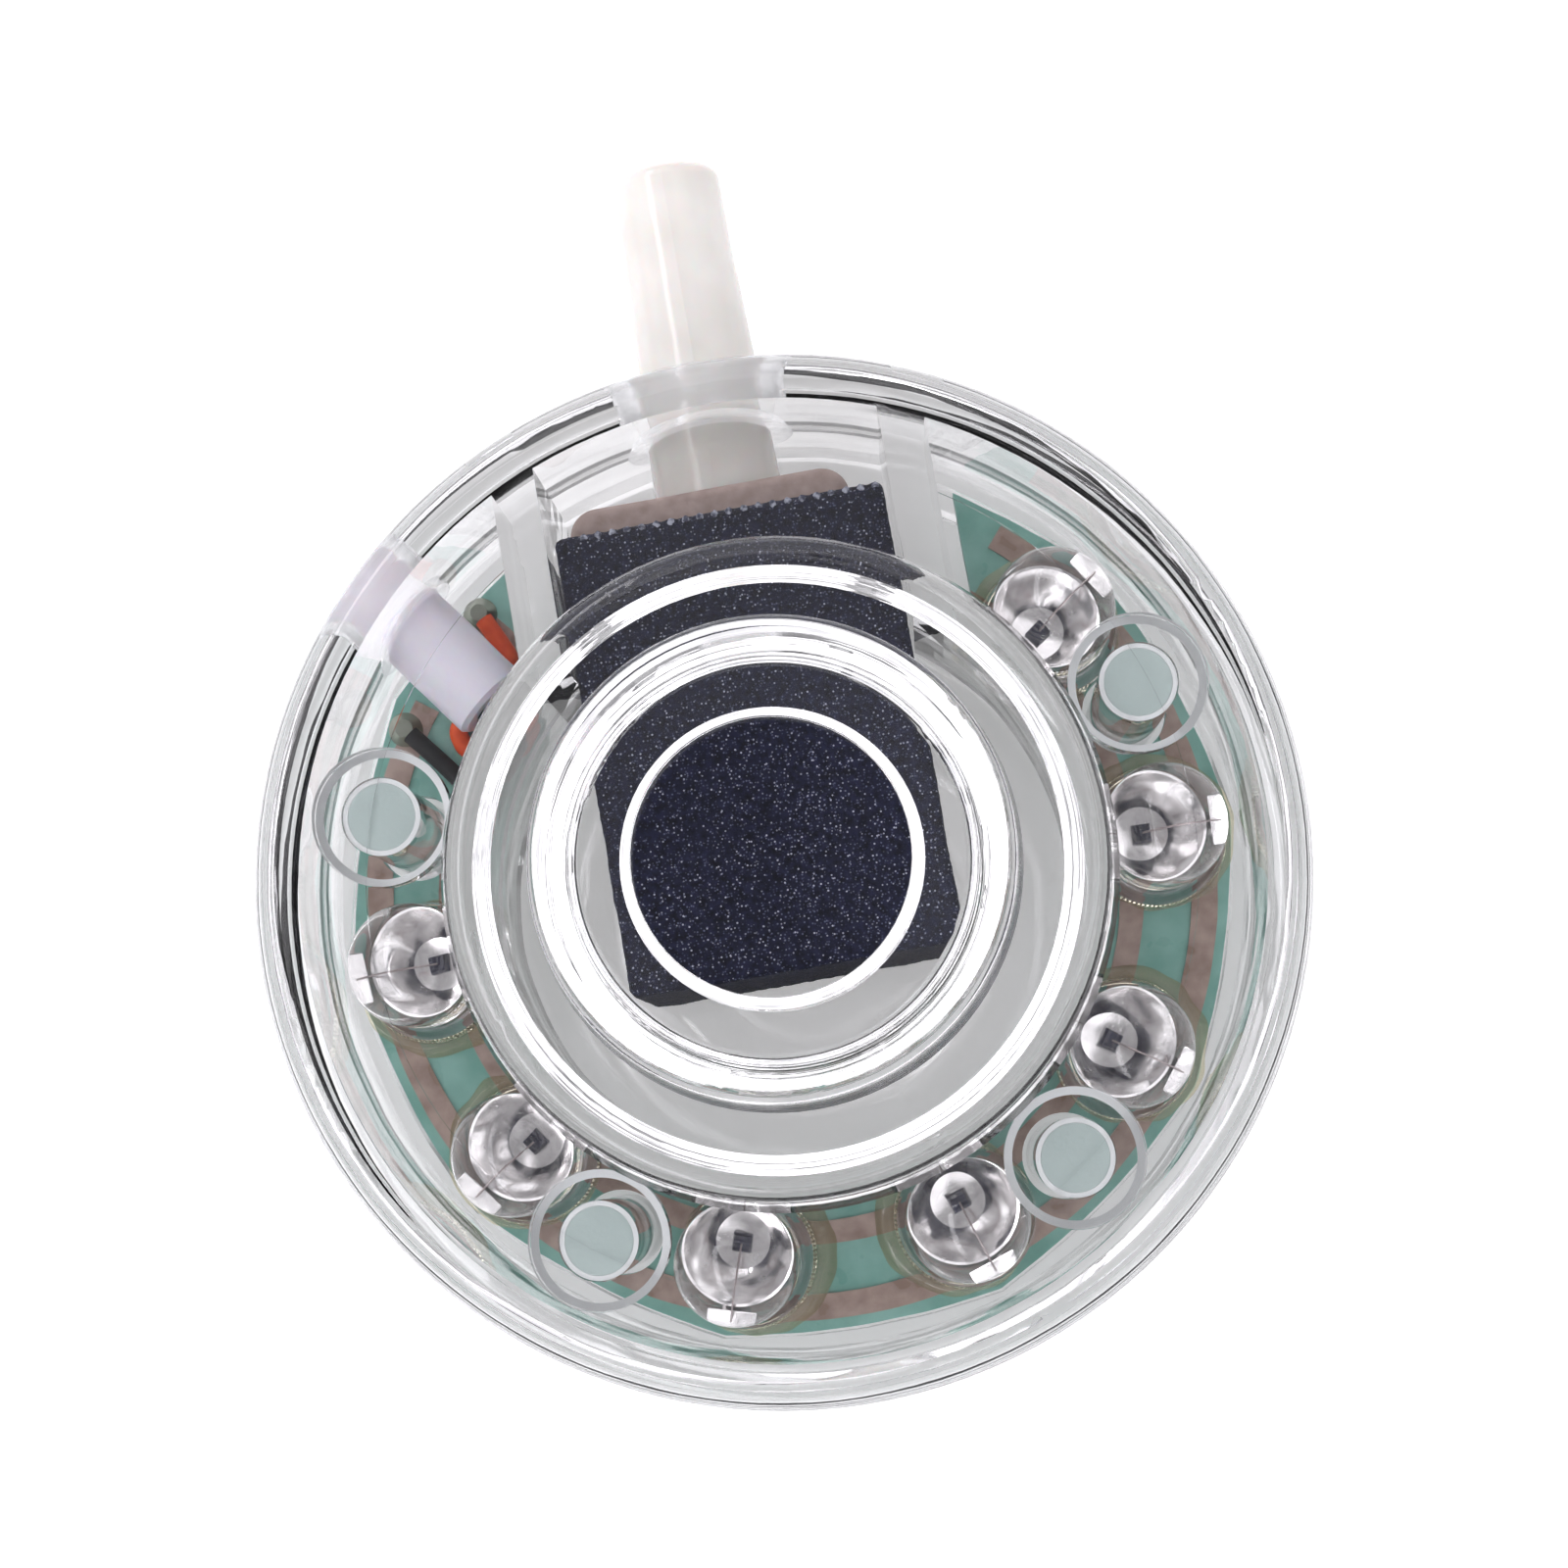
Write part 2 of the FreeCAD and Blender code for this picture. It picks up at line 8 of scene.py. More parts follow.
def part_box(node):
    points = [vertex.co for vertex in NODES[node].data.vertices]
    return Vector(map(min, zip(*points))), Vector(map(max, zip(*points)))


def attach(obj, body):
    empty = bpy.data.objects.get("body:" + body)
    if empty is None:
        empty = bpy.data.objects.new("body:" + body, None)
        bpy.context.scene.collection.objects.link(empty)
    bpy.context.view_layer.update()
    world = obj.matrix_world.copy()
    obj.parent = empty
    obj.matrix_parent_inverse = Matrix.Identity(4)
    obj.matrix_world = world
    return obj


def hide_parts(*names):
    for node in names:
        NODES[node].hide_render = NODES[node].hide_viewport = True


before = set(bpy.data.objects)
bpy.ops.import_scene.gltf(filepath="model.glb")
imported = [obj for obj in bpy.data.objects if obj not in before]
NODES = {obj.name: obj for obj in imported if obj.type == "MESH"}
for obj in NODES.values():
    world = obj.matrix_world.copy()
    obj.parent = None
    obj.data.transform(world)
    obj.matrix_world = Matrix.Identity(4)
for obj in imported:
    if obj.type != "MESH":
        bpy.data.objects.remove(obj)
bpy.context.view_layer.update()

MM = 0.001
LED_NUMBERS = range(1, 8)
SCENE = bpy.context.scene

# LED lens, measured from its seat
LENS_FLANGE_RADIUS = 2.9 * MM
LENS_FLANGE_THICKNESS = 1.0 * MM
LENS_BODY_RADIUS = 2.5 * MM
LENS_HEIGHT = 8.6 * MM
LENS_FLAT_OFFSET = 2.5 * MM
LENS_EDGE = 0.1 * MM
LENS_SEGMENTS = 96
LENS_DOME_STEPS = 24

# LED leads, measured from the lens axis and the seat; +X points out from the middle of the disc
LEG_WIDTH = 0.5 * MM
LEG_OFFSET = 1.27 * MM
LEG_BOTTOM = -2.25 * MM
ANVIL_BOTTOM = 2.2 * MM
ANVIL_TOP = 4.4 * MM
CUP_RADIUS = 1.3 * MM
CUP_RIM_RADIUS = 1.24 * MM
CUP_FLOOR_RADIUS = 0.5 * MM
CUP_OFFSET = 0.35 * MM
CUP_BOTTOM = 4.35 * MM
CUP_RIM = 5.35 * MM
CUP_DEPTH = 0.65 * MM
PAD_LENGTH = 0.7 * MM
PAD_HALF_WIDTH = 0.55 * MM
PAD_THICKNESS = 0.3 * MM
METAL_EDGE = 0.05 * MM
CUP_SEGMENTS = 64
CHIP_SIZE = 0.36 * MM
CHIP_HEIGHT = 0.16 * MM
WIRE_RADIUS = 0.022 * MM
WIRE_RISE = 0.3 * MM
WIRE_STEPS = 12
WIRE_SIDES = 8

# Skirt of resin round the foot of each LED: how far the foot is off the LED's middle, in millimetres
RESIN_OFFSETS = (
    (-0.25, 0.1), (0.1, 0.25), (0.3, 0.2), (-0.45, 0.1), (0.5, 0.0), (-0.25, 0.2), (0.15, -0.35),
)
RESIN_FOOT_RADIUS = 3.35 * MM
RESIN_SWELL = 0.2 * MM
RESIN_SWELL_SPACING = 1.2 * MM
RESIN_CLIMB_STEPS = 8
RESIN_SEGMENTS = 96
RESIN_HEIGHT = 0.9 * MM
RESIN_GAP = 0.02 * MM
WELL_CLEARANCE_RADIUS = 13.05 * MM
POST_CLEARANCE_RADIUS = 1.85 * MM

# Air stone
STONE_STEP = 0.16 * MM
STONE_EDGE = 0.35 * MM
STONE_GRAIN = 0.3 * MM
STONE_DEPTH = 0.09 * MM
TOOTH_PITCH = 0.6 * MM
TOOTH_DEPTH = 0.22 * MM
TOOTH_REACH = 0.5 * MM

# Crumbs on the stone's teeth: radii, inset in radii, place in pitches, and how lumpy they are
TOOTH_SIZE = Vector((0.15, 0.19, 0.12)) * MM
TOOTH_TIP_INSET = 1.3
TOOTH_TIP_PLACE = 0.75
TOOTH_LUMP = 0.3
TOOTH_LUMP_SCALE = 1.3
BALL_STEPS = 10
BALL_SEGMENTS = 20

# Faces of the posts, seen through the cover
POST_ANGLES = (18.0, 162.0, 234.0, 306.0)
POST_CIRCLE_RADIUS = 16.1 * MM
POST_FACE_RADIUS = 1.36 * MM
POST_FACE_BOTTOM = 13.42 * MM
POST_FACE_TOP = 13.48 * MM
POST_FACE_EDGE = 0.02 * MM
POST_FACE_SEGMENTS = 64

# Painted highlight rings at the posts, whitish rings that stand in for the bright edges of post tops and
# socket mouths: inner radius, outer radius, lower and upper height
POST_HIGHLIGHT_RING = (1.37 * MM, 1.56 * MM, 13.43 * MM, 13.48 * MM)
SOCKET_HIGHLIGHT_RING = (2.45 * MM, 2.78 * MM, 12.5 * MM, 12.56 * MM)
HIGHLIGHT_RING_SEGMENTS = 96

# Moulding lines on the turret: from this height up, and only where a face is steep
STREAK_SPACING = 0.5 * MM
STREAK_DEPTH = 0.03 * MM
STREAK_START = 15.1 * MM
STREAK_FADE = 0.2 * MM
STEEP_LEVELS = ((0.9, 1.0), (0.97, 0.0))

# Specks, painted glints of the stone's grains: the share of their radius at full brightness, and how many
# cells hold one
SPECK_CORE = 0.5
SPECK_CHOICE = ((0.45, 0.0), (0.8, 1.0))

# Range that nearly all values of a noise texture lie in
NOISE_LOW = 0.3
NOISE_HIGH = 0.7

# Edges sharper than this many degrees stay sharp when a mesh is shaded smooth
SHARP_ANGLE = 40.0

# Floor
FLOOR_HALF_SIZE = 1.0
FLOOR_DROP = 0.1 * MM

# Studio light: level by height of direction, and a softbox that runs along the left
SKY_LEVELS = ((0.0, 0.8), (0.12, 0.84), (0.35, 1.0), (0.9, 1.0), (0.94, 0.2))
SKY_STRENGTH = 1.5
PATCH_SCALE = 3.0
PATCH_LEVELS = ((0.38, 0.72), (0.55, 1.0))
STRIP_FROM_ZENITH = 33.0
STRIP_WIDTH_LEVELS = ((0.06, 1.0), (0.1, 0.0))
STRIP_LENGTH_LEVELS = ((0.4, 0.0), (0.6, 1.0))
STRIP_STRENGTH = 5.0
STUDIO_TINT = (1.0, 0.985, 1.03)

# Camera, placed in a frame that is turned this many degrees about Z from the part's own
CAMERA_TURN = 9.858
CAMERA_EYE = Vector((5.685, -9.956, 132.443)) * MM
CAMERA_TARGET = Vector((0.173, 3.494, 14.2)) * MM
CAMERA_SENSOR_WIDTH = 36.0
CAMERA_LENS = 68.963

# Light paths
TRANSMISSION_BOUNCES = 24
TOTAL_BOUNCES = 32
DIFFUSE_BOUNCES = 6


# Materials

def principled(name, **values):
    """New material with one Principled shader; values are its plain socket values."""
    material = bpy.data.materials.new(name)
    material.use_nodes = True
    shader = material.node_tree.nodes["Principled BSDF"]
    for socket, value in values.items():
        shader.inputs[socket.replace("_", " ")].default_value = value
    return material


def add_node(material, kind, **values):
    """New shader node; values are its plain socket values."""
    node = material.node_tree.nodes.new(kind)
    for socket, value in values.items():
        node.inputs[socket.replace("_", " ")].default_value = value
    return node


def shader_of(material):
    return material.node_tree.nodes["Principled BSDF"]


def object_noise(material, scale, detail=2.0, roughness=0.5):
    """Noise in the part's frame; scale is in features per metre."""
    coordinates = add_node(material, "ShaderNodeTexCoord")
    texture = add_node(material, "ShaderNodeTexNoise", Scale=scale, Detail=detail, Roughness=roughness)
    material.node_tree.links.new(coordinates.outputs["Object"], texture.inputs["Vector"])
    return texture.outputs["Fac"]


def ramp(tree, factor, stops):
    """Colour ramp fed by factor; stops are (position, colour) pairs."""
    node = tree.nodes.new("ShaderNodeValToRGB")
    elements = node.color_ramp.elements
    while len(elements) < len(stops):
        elements.new(0.5)
    for element, (position, colour) in zip(elements, stops):
        element.position = position
        element.color = (*colour, 1.0)
    tree.links.new(factor, node.inputs["Fac"])
    return node.outputs["Color"]


def level_ramp(tree, factor, stops):
    """Brightness ramp fed by factor; stops are (position, level) pairs."""
    return ramp(tree, factor, [(position, (level, level, level)) for position, level in stops])


def math_node(tree, operation, first, second=None):
    """Result of a math node fed by one or two outputs."""
    node = tree.nodes.new("ShaderNodeMath")
    node.operation = operation
    tree.links.new(first, node.inputs[0])
    if second is not None:
        tree.links.new(second, node.inputs[1])
    return node.outputs["Value"]


def colour_from_noise(material, scale, stops, detail=2.0, roughness=0.5):
    factor = object_noise(material, scale, detail, roughness)
    colour = ramp(material.node_tree, factor, stops)
    material.node_tree.links.new(colour, shader_of(material).inputs["Base Color"])


def roughness_from_noise(material, scale, low, high):
    factor = object_noise(material, scale)
    spread = add_node(material, "ShaderNodeMapRange", From_Min=NOISE_LOW, From_Max=NOISE_HIGH,
                      To_Min=low, To_Max=high)
    material.node_tree.links.new(factor, spread.inputs["Value"])
    material.node_tree.links.new(spread.outputs["Result"], shader_of(material).inputs["Roughness"])


def bump_from_noise(material, scale, distance, detail=2.0):
    factor = object_noise(material, scale, detail)
    bump = add_node(material, "ShaderNodeBump", Strength=1.0, Distance=distance)
    material.node_tree.links.new(factor, bump.inputs["Height"])
    material.node_tree.links.new(bump.outputs["Normal"], shader_of(material).inputs["Normal"])


def steepness(material):
    """One on upright faces, zero on level ones."""
    tree = material.node_tree
    geometry = add_node(material, "ShaderNodeNewGeometry")
    split = add_node(material, "ShaderNodeSeparateXYZ")
    tree.links.new(geometry.outputs["True Normal"], split.inputs["Vector"])
    return level_ramp(tree, math_node(tree, "ABSOLUTE", split.outputs["Z"]), STEEP_LEVELS)


def turret_streaks(material):
    """Fine ring-shaped moulding lines on the turret's steep faces, added to the material's bump."""
    links = material.node_tree.links
    coordinates = add_node(material, "ShaderNodeTexCoord")
    split = add_node(material, "ShaderNodeSeparateXYZ")
    links.new(coordinates.outputs["Object"], split.inputs["Vector"])
    flat = add_node(material, "ShaderNodeCombineXYZ")
    links.new(split.outputs["X"], flat.inputs["X"])
    links.new(split.outputs["Y"], flat.inputs["Y"])
    length = add_node(material, "ShaderNodeVectorMath")
    length.operation = "LENGTH"
    links.new(flat.outputs["Vector"], length.inputs[0])
    place = add_node(material, "ShaderNodeCombineXYZ")
    links.new(length.outputs["Value"], place.inputs["X"])
    links.new(split.outputs["Z"], place.inputs["Y"])
    lines = add_node(material, "ShaderNodeTexNoise", Scale=1.0 / STREAK_SPACING, Detail=2.0)
    links.new(place.outputs["Vector"], lines.inputs["Vector"])
    strength = add_node(material, "ShaderNodeMapRange", From_Min=STREAK_START,
                        From_Max=STREAK_START + STREAK_FADE)
    links.new(split.outputs["Z"], strength.inputs["Value"])
    bump = add_node(material, "ShaderNodeBump", Distance=STREAK_DEPTH)
    links.new(lines.outputs["Fac"], bump.inputs["Height"])
    masked = math_node(material.node_tree, "MULTIPLY", strength.outputs["Result"], steepness(material))
    links.new(masked, bump.inputs["Strength"])
    normal = shader_of(material).inputs["Normal"]
    links.new(normal.links[0].from_socket, bump.inputs["Normal"])
    links.new(bump.outputs["Normal"], normal)


def clear_plastic_material():
    material = principled("clear_plastic", Base_Color=(1.0, 1.0, 1.0, 1), Transmission_Weight=1.0,
                          Roughness=0.02, IOR=1.49)
    bump_from_noise(material, scale=260.0, distance=0.035 * MM, detail=1.0)
    turret_streaks(material)
    return material


def clear_epoxy_material():
    material = principled("clear_epoxy", Base_Color=(1.0, 1.0, 1.0, 1), Transmission_Weight=1.0,
                          Roughness=0.0, IOR=1.53)
    bump_from_noise(material, scale=500.0, distance=0.01 * MM, detail=1.0)
    return material


def frosted_material():
    material = principled("frosted_face", Base_Color=(0.76, 0.87, 0.85, 1), Transmission_Weight=0.5,
                          Roughness=0.6, IOR=1.3)
    bump_from_noise(material, scale=2500.0, distance=0.02 * MM)
    return material


def highlight_ring_material():
    # Whitish colour: painted highlight for the rings at the edges of the posts and sockets.
    material = principled("painted_highlight_ring", Base_Color=(0.9, 0.93, 0.93, 1), Roughness=0.5)
    bump_from_noise(material, scale=1500.0, distance=0.02 * MM)
    return material


def resin_material():
    material = principled("resin", Base_Color=(0.93, 0.88, 0.68, 1), Transmission_Weight=0.9,
                          Roughness=0.05, IOR=1.5)
    bump_from_noise(material, scale=900.0, distance=0.02 * MM)
    return material


def add_glint_specks(material, scale, size, colour):
    """Round specks of uneven brightness, painted glints, over the material's colour; size is a share of
    their spacing.
    """
    tree = material.node_tree
    coordinates = add_node(material, "ShaderNodeTexCoord")
    cells = add_node(material, "ShaderNodeTexVoronoi", Scale=scale)
    tree.links.new(coordinates.outputs["Object"], cells.inputs["Vector"])
    shape = level_ramp(tree, cells.outputs["Distance"], ((SPECK_CORE * size, 1.0), (size, 0.0)))
    chosen = level_ramp(tree, cells.outputs["Color"], SPECK_CHOICE)
    mix = add_node(material, "ShaderNodeMixRGB", Color2=(*colour, 1.0))
    base = shader_of(material).inputs["Base Color"]
    tree.links.new(base.links[0].from_socket, mix.inputs["Color1"])
    tree.links.new(math_node(tree, "MULTIPLY", shape, chosen), mix.inputs["Fac"])
    tree.links.new(mix.outputs["Color"], base)


def stone_material():
    material = principled("stone", Roughness=0.7, Specular_IOR_Level=0.25)
    stops = ((0.35, (0.0025, 0.003, 0.009)), (0.65, (0.011, 0.013, 0.036)))
    colour_from_noise(material, scale=2600.0, stops=stops, detail=3.0, roughness=0.6)
    # Both speck layers are painted glints of the stone's grains.
    add_glint_specks(material, scale=8500.0, size=0.42, colour=(0.09, 0.10, 0.16))
    add_glint_specks(material, scale=6400.0, size=0.3, colour=(0.42, 0.44, 0.54))
    bump_from_noise(material, scale=7000.0, distance=0.06 * MM)
    return material


def tooth_material():
    material = principled("stone_teeth", Roughness=0.7)
    stops = ((0.4, (0.05, 0.055, 0.09)), (0.6, (0.4, 0.42, 0.5)))
    colour_from_noise(material, scale=4200.0, stops=stops, detail=3.0)
    bump_from_noise(material, scale=7000.0, distance=0.05 * MM)
    return material


def cap_material():
    material = principled("cap", Roughness=0.6)
    stops = ((0.3, (0.29, 0.215, 0.19)), (0.7, (0.4, 0.31, 0.28)))
    colour_from_noise(material, scale=1500.0, stops=stops, detail=4.0)
    bump_from_noise(material, scale=2600.0, distance=0.05 * MM)
    return material


def nozzle_material():
    material = principled("nozzle", Roughness=0.15, IOR=1.5, Subsurface_Weight=0.4,
                          Subsurface_Scale=1.0 * MM)
    stops = ((0.35, (0.59, 0.575, 0.535)), (0.65, (0.65, 0.635, 0.6)))
    colour_from_noise(material, scale=300.0, stops=stops)
    bump_from_noise(material, scale=700.0, distance=0.02 * MM)
    return material


def seal_material():
    # Faint emission: a painted glow that stands in for light scattered through the translucent seal.
    material = principled("seal", Base_Color=(1.0, 1.0, 1.0, 1), Roughness=0.2, IOR=1.49,
                          Transmission_Weight=0.85, Emission_Color=(0.95, 0.95, 1.0, 1),
                          Emission_Strength=0.14)
    bump_from_noise(material, scale=900.0, distance=0.05 * MM)
    return material


def board_material():
    material = principled("board", Specular_IOR_Level=0.5)
    stops = ((0.35, (0.2, 0.48, 0.40)), (0.65, (0.31, 0.61, 0.53)))
    colour_from_noise(material, scale=500.0, stops=stops, detail=4.0)
    roughness_from_noise(material, scale=900.0, low=0.25, high=0.45)
    return material


def track_material():
    material = principled("track", Metallic=0.0)
    stops = ((0.35, (0.36, 0.25, 0.2)), (0.65, (0.55, 0.42, 0.36)))
    colour_from_noise(material, scale=900.0, stops=stops, detail=4.0)
    roughness_from_noise(material, scale=900.0, low=0.25, high=0.45)
    return material


def metal_material(name, colour, low, high):
    material = principled(name, Base_Color=(*colour, 1), Metallic=1.0)
    roughness_from_noise(material, scale=3000.0, low=low, high=high)
    return material


def lamp_metal_material():
    """Silvered lead frame, dented by the stamping."""
    material = metal_material("led_metal", (0.93, 0.91, 0.91), low=0.12, high=0.28)
    bump_from_noise(material, scale=900.0, distance=0.22 * MM, detail=1.0)
    return material


def sleeve_material():
    material = principled("sleeve", Roughness=0.35, Subsurface_Weight=0.3, Subsurface_Scale=1.0 * MM)
    stops = ((0.35, (0.8, 0.78, 0.87)), (0.65, (0.85, 0.83, 0.92)))
    colour_from_noise(material, scale=400.0, stops=stops)
    bump_from_noise(material, scale=900.0, distance=0.02 * MM)
    return material


def lead_material(name, dark, light):
    material = principled(name, Roughness=0.5, Specular_IOR_Level=0.3)
    colour_from_noise(material, scale=1200.0, stops=((0.35, dark), (0.65, light)))
    return material


def floor_material():
    material = principled("floor", Roughness=0.6, Emission_Color=(1, 1, 1, 1), Emission_Strength=0.3)
    colour_from_noise(material, scale=20.0, stops=((0.3, (0.89, 0.89, 0.89)), (0.7, (0.91, 0.91, 0.91))))
    return material


def dress(node_name, material):
    mesh = NODES[node_name].data
    mesh.materials.clear()
    mesh.materials.append(material)


# Mesh building

def new_piece(name, vertices, faces, material):
    """Mesh piece in the part's frame that rides on its only body."""
    mesh = bpy.data.meshes.new(name)
    mesh.from_pydata(vertices, [], faces)
    mesh.validate()
    mesh.shade_smooth()
    mesh.set_sharp_from_angle(angle=math.radians(SHARP_ANGLE))
    mesh.materials.append(material)
    piece = bpy.data.objects.new(name, mesh)
    SCENE.collection.objects.link(piece)
    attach(piece, "root")
    return piece


def lathe(profile, segments):
    """Closed mesh turned about Z; the profile is (radius, height) points that start and end on the axis."""
    rings = profile[1:-1]
    vertices = [Vector((0.0, 0.0, profile[0][1]))]
    for radius, height in rings:
        for step in range(segments):
            turn = 2 * math.pi * step / segments
            vertices.append(Vector((radius * math.cos(turn), radius * math.sin(turn), height)))
    vertices.append(Vector((0.0, 0.0, profile[-1][1])))
    last = len(vertices) - 1
    faces = []
    for step in range(segments):
        after = (step + 1) % segments
        faces.append((0, 1 + after, 1 + step))
        for ring in range(len(rings) - 1):
            low = 1 + ring * segments
            high = low + segments
            faces.append((low + step, low + after, high + after, high + step))
        top = 1 + (len(rings) - 1) * segments
        faces.append((top + step, top + after, last))
    return vertices, faces


def tube(points, radius, sides):
    """Closed tube of round section along a few points."""
    vertices = []
    faces = []
    for index, point in enumerate(points):
        before = points[max(index - 1, 0)]
        after = points[min(index + 1, len(points) - 1)]
        along = (after - before).normalized()
        across = along.orthogonal().normalized()
        other = along.cross(across)
        for side in range(sides):
            angle = 2 * math.pi * side / sides
            vertices.append(point + radius * (across * math.cos(angle) + other * math.sin(angle)))
    for index in range(len(points) - 1):
        for side in range(sides):
            after_side = (side + 1) % sides
            low = index * sides
            high = low + sides
            faces.append((low + side, low + after_side, high + after_side, high + side))
    faces.append(tuple(reversed(range(sides))))
    faces.append(tuple(range((len(points) - 1) * sides, len(points) * sides)))
    return vertices, faces


def ring_faces(segments, size):
    """Quads of a closed ring that is made of sections of this many points each."""
    faces = []
    for step in range(segments):
        start = step * size
        after = (step + 1) % segments * size
        for index in range(size):
            beyond = (index + 1) % size
            faces.append((start + index, after + index, after + beyond, start + beyond))
    return faces


def polar(radius, angle, height):
    turn = math.radians(angle)
    return Vector((radius * math.cos(turn), radius * math.sin(turn), height))


# LEDs

def lens_apex(number):
    vertices = NODES["led_lens_%d" % number].data.vertices
    return max(vertices, key=lambda vertex: vertex.co.z).co.copy()


def led_place(number):
    """Matrix from an LED's own axes, +X pointing outwards and the seat at zero, to the part's frame."""
    apex = lens_apex(number)
    turn = math.atan2(apex.y, apex.x)
    seat = Vector((apex.x, apex.y, apex.z - LENS_HEIGHT))
    return Matrix.Translation(seat) @ Matrix.Rotation(turn, 4, "Z")


def lens_profile():
    flange_top = LENS_FLANGE_THICKNESS
    profile = [
        (0.0, 0.0), (LENS_FLANGE_RADIUS - LENS_EDGE, 0.0), (LENS_FLANGE_RADIUS, LENS_EDGE),
        (LENS_FLANGE_RADIUS, flange_top - LENS_EDGE), (LENS_FLANGE_RADIUS - LENS_EDGE, flange_top),
        (LENS_BODY_RADIUS + LENS_EDGE, flange_top), (LENS_BODY_RADIUS, flange_top + LENS_EDGE),
    ]
    dome_start = LENS_HEIGHT - LENS_BODY_RADIUS
    for step in range(LENS_DOME_STEPS):
        angle = math.pi / 2 * step / LENS_DOME_STEPS
        height = dome_start + LENS_BODY_RADIUS * math.sin(angle)
        profile.append((LENS_BODY_RADIUS * math.cos(angle), height))
    profile.append((0.0, LENS_HEIGHT))
    return profile


def led_lens(number, material):
    """Smooth lens with one flat on its flange, in place of the CAD lens."""
    vertices, faces = lathe(lens_profile(), LENS_SEGMENTS)
    for vertex in vertices:
        if vertex.z <= LENS_FLANGE_THICKNESS:
            vertex.x = max(vertex.x, -LENS_FLAT_OFFSET)
    place = led_place(number)
    vertices = [place @ vertex for vertex in vertices]
    lens = new_piece("led_dome_%d" % number, vertices, faces, material)
    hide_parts("led_lens_%d" % number)


def block(low, high):
    """Block with bevelled edges; its points and faces are sorted, as the bevel's own order varies."""
    size = [top - bottom for bottom, top in zip(low, high)]
    middle = [(top + bottom) / 2 for bottom, top in zip(low, high)]
    place = Matrix.Translation(middle) @ Matrix.Diagonal((*size, 1.0))
    mesh = bmesh.new()
    bmesh.ops.create_cube(mesh, size=1.0, matrix=place)
    bmesh.ops.bevel(mesh, geom=mesh.edges[:], offset=METAL_EDGE, segments=2, affect="EDGES", profile=0.5)
    corners = sorted(mesh.verts, key=lambda corner: tuple(corner.co))
    index_of = {corner: index for index, corner in enumerate(corners)}
    vertices = [corner.co.copy() for corner in corners]
    faces = []
    for face in mesh.faces:
        outline = [index_of[corner] for corner in face.verts]
        first = outline.index(min(outline))
        faces.append(outline[first:] + outline[:first])
    mesh.free()
    return vertices, sorted(faces)


def merged(solids):
    """Vertices and faces of several solids as one mesh."""
    vertices = []
    faces = []
    for solid_vertices, solid_faces in solids:
        start = len(vertices)
        vertices += solid_vertices
        faces += [tuple(start + corner for corner in face) for face in solid_faces]
    return vertices, faces


def cup_profile():
    floor = CUP_RIM - CUP_DEPTH
    return [
        (0.0, CUP_BOTTOM), (CUP_RADIUS - METAL_EDGE, CUP_BOTTOM), (CUP_RADIUS, CUP_BOTTOM + METAL_EDGE),
        (CUP_RADIUS, CUP_RIM), (CUP_RIM_RADIUS, CUP_RIM), (CUP_FLOOR_RADIUS, floor), (0.0, floor),
    ]


def led_leads(number, material):
    """Reflector cup on its anvil and leg, and the post with its wide pad, in place of the CAD frame."""
    half = LEG_WIDTH / 2
    pad_start = LEG_OFFSET - half
    cup, cup_faces = lathe(cup_profile(), CUP_SEGMENTS)
    shift = Vector((-CUP_OFFSET, 0.0, 0.0))
    vertices, faces = merged([
        block((-LEG_OFFSET - half, -half, LEG_BOTTOM), (-LEG_OFFSET + half, half, ANVIL_TOP)),
        block((-LEG_OFFSET - half, -half, ANVIL_BOTTOM), (-half, half, ANVIL_TOP)),
        block((LEG_OFFSET - half, -half, LEG_BOTTOM), (LEG_OFFSET + half, half, CUP_RIM - METAL_EDGE)),
        block((pad_start, -PAD_HALF_WIDTH, CUP_RIM - PAD_THICKNESS),
              (pad_start + PAD_LENGTH, PAD_HALF_WIDTH, CUP_RIM)),
        ([vertex + shift for vertex in cup], cup_faces),
    ])
    place = led_place(number)
    vertices = [place @ vertex for vertex in vertices]
    leads = new_piece("led_leads_%d" % number, vertices, faces, material)
    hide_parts("led_frame_%d" % number)


def led_chip(number, material):
    """Square chip with a slightly smaller top, on the floor of the reflector cup."""
    place = led_place(number)
    floor = CUP_RIM - CUP_DEPTH
    vertices = []
    for height, half in ((0.0, CHIP_SIZE / 2), (CHIP_HEIGHT, CHIP_SIZE / 2 - METAL_EDGE / 2)):
        for x, y in ((-half, -half), (half, -half), (half, half), (-half, half)):
            vertices.append(place @ Vector((x - CUP_OFFSET, y, floor + height)))
    faces = [(3, 2, 1, 0), (4, 5, 6, 7)]
    faces += [(side, (side + 1) % 4, 4 + (side + 1) % 4, 4 + side) for side in range(4)]
    new_piece("led_chip_%d" % number, vertices, faces, material)


def led_wire(number, material):
    """Bond wire in an arch from the chip to the post's pad."""
    place = led_place(number)
    start = Vector((-CUP_OFFSET, 0.0, CUP_RIM - CUP_DEPTH + CHIP_HEIGHT))
    end = Vector((LEG_OFFSET, 0.0, CUP_RIM))
    points = []
    for step in range(WIRE_STEPS + 1):
        share = step / WIRE_STEPS
        point = start.lerp(end, share)
        point.z += WIRE_RISE * math.sin(math.pi * share)
        points.append(place @ point)
    vertices, faces = tube(points, WIRE_RADIUS, WIRE_SIDES)
    new_piece("led_wire_%d" % number, vertices, faces, material)


def keep_clear(point):
    """Move a point out of the well's wall and away from the posts."""
    flat = Vector((point.x, point.y, 0.0))
    if flat.length < WELL_CLEARANCE_RADIUS:
        flat = flat.normalized() * WELL_CLEARANCE_RADIUS
    for angle in POST_ANGLES:
        post = polar(POST_CIRCLE_RADIUS, angle, 0.0)
        away = flat - post
        if away.length < POST_CLEARANCE_RADIUS:
            flat = post + away.normalized() * POST_CLEARANCE_RADIUS
    return Vector((flat.x, flat.y, point.z))


